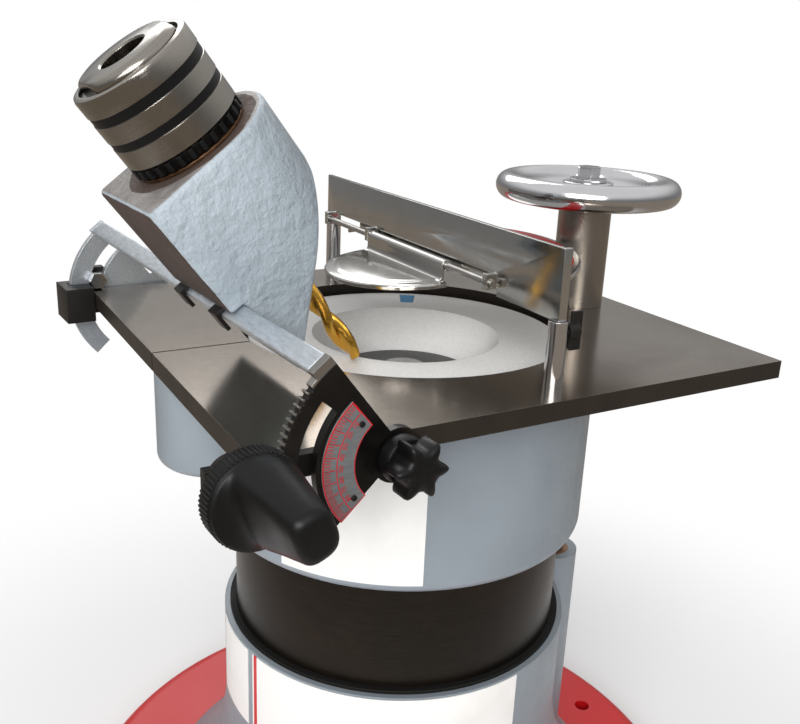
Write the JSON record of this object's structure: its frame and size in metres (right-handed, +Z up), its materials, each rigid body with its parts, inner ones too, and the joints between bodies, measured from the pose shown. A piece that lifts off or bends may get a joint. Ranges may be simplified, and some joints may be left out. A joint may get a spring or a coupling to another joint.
{
  "type": "planer knife grinder",
  "caption": "Bench planer knife grinder: white cup wheel in a steel table, geared tilting guide with a drill holder and chuck, chrome guard and a lift handwheel on a grey and red stand.",
  "frame": {"origin": "centre of the base on the floor, on the wheel's axis", "axes": "+Z up along the wheel's axis, +X right towards the handwheel, +Y to the rear along the table's edge"},
  "size_m": [0.34, 0.34, 0.4314],
  "materials": {
    "red_paint": "gloss red paint",
    "black_rubber": "matt black rubber",
    "grey_paint": "grey hammered paint",
    "steel": "ground and turned steel",
    "dark_steel": "blackened steel",
    "copper": "varnished copper wire",
    "bronze": "turned bronze",
    "white_label": "bare printed sheet",
    "black_plastic": "moulded black plastic",
    "white_abrasive": "white bonded abrasive",
    "can_aluminium": "drawn can",
    "chrome": "chrome plate",
    "blue_grey_paint": "rough pale blue-grey paint",
    "gold_coat": "gold nitride coat"
  },
  "bodies": {
    "base": {"base_plate": "red_paint", "rubber_feet": "black_rubber", "lower_housing": "grey_paint", "housing_bolts": "steel", "wiper_seal": "black_rubber", "motor_tube": "dark_steel", "stator": "steel", "stator_windings": "copper", "lower_end_shield": "grey_paint", "upper_end_shield": "grey_paint", "lower_bearing": "steel", "upper_bearing": "steel", "lift_nut": "bronze", "front_label": "white_label", "side_label": "white_label", "switch_box": "black_plastic", "cable_gland": "black_plastic"},
    "spindle": {"spindle_shaft": "steel", "rotor_core": "steel", "wheel_flange": "steel", "grinding_wheel": "white_abrasive", "wheel_nut": "steel"},
    "head": {"head_housing": "grey_paint", "capacitor": "can_aluminium", "rating_plate": "white_label", "table_plate": "steel", "table_screws": "steel", "lift_post": "steel", "pinion_bracket": "dark_steel", "rear_bracket": "dark_steel", "rear_pivot_pin": "steel"},
    "lift": {"lift_screw": "steel", "handwheel": "chrome", "handwheel_bolt": "chrome"},
    "guide": {"guide_web": "steel", "gear_sector": "steel", "rear_quadrant": "steel", "protractor_scale": "white_label", "scale_screws": "chrome"},
    "pinion": {"pinion_shaft": "steel", "wing_knob": "black_plastic"},
    "star": {"star_knob": "black_plastic"},
    "clamp": {"clamp_bolt": "chrome"},
    "holder": {"holder_casting": "blue_grey_paint", "holder_bush": "bronze", "holder_clips": "dark_steel"},
    "chuck": {"chuck_body": "chrome", "chuck_jaws": "steel", "drill_bit": "gold_coat"},
    "chuck_ring": {"chuck_sleeve": "chrome"},
    "guard": {"guard_posts": "chrome", "guard_plate": "chrome", "hinge_rod": "steel", "red_cover": "red_paint"},
    "flap": {"guard_flap": "chrome"},
    "wing": {"wing_screw": "chrome"},
    "rocker": {"switch_rocker": "red_paint"}
  },
  "joints": [
    {"name": "wheel_spin", "type": "hinge", "parent": "base", "child": "spindle", "pos_m": [0, 0, 0.275], "axis": [0, 0, 1], "continuous": true},
    {"name": "head_lift", "type": "slide", "parent": "base", "child": "head", "axis": [0, 0, 1], "range_m": [-0.0005, 0.02]},
    {"name": "handwheel_turn", "type": "hinge", "parent": "head", "child": "lift", "pos_m": [0.1047, 0, 0.361], "axis": [0, 0, 1], "range_deg": [-61, 2401]},
    {"name": "guide_tilt", "type": "hinge", "parent": "head", "child": "guide", "pos_m": [-0.081, 0, 0.2955], "axis": [-0.0576, 0.9983, 0], "range_deg": [-30, 0]},
    {"name": "pinion_turn", "type": "hinge", "parent": "head", "child": "pinion", "pos_m": [-0.12897, -0.12697, 0.2955], "axis": [-0.0576, 0.9983, 0], "range_deg": [-1, 119]},
    {"name": "star_turn", "type": "hinge", "parent": "head", "child": "star", "pos_m": [-0.07352, -0.12978, 0.2955], "axis": [-0.0576, 0.9983, 0], "range_deg": [0, 180]},
    {"name": "clamp_bolt_turn", "type": "hinge", "parent": "head", "child": "clamp", "pos_m": [-0.11948, 0.11798, 0.30457], "axis": [-0.0576, 0.9983, 0], "range_deg": [0, 180]},
    {"name": "holder_slide", "type": "slide", "parent": "guide", "child": "holder", "axis": [-0.0576, 0.9983, 0], "range_m": [-0.025, 0.065]},
    {"name": "chuck_turn", "type": "hinge", "parent": "holder", "child": "chuck", "pos_m": [-0.05483, -0.02954, 0.31459], "axis": [-0.6146, -0.0354, 0.788], "continuous": true},
    {"name": "sleeve_turn", "type": "hinge", "parent": "chuck", "child": "chuck_ring", "pos_m": [-0.05483, -0.02954, 0.31459], "axis": [-0.6146, -0.0354, 0.788], "range_deg": [0, 180]},
    {"name": "guard_lift", "type": "slide", "parent": "head", "child": "guard", "axis": [0, 0, 1], "range_m": [-0.008, 0.004]},
    {"name": "flap_swing", "type": "hinge", "parent": "guard", "child": "flap", "pos_m": [0.0054, 0.011, 0.333], "axis": [0, 1, 0], "range_deg": [0, 75]},
    {"name": "wing_screw_turn", "type": "hinge", "parent": "guard", "child": "wing", "pos_m": [0.0104, -0.0995, 0.322], "axis": [1, 0, 0], "range_deg": [0, 180]},
    {"name": "switch_rock", "type": "hinge", "parent": "base", "child": "rocker", "pos_m": [0, 0.119, 0.13], "axis": [1, 0, 0], "range_deg": [-16, 0]}
  ],
  "couplings": [
    {"joint": "handwheel_turn", "follows": "head_lift", "rad_per_m": 2094.4},
    {"joint": "pinion_turn", "follows": "guide_tilt", "ratio": -3.9286}
  ]
}
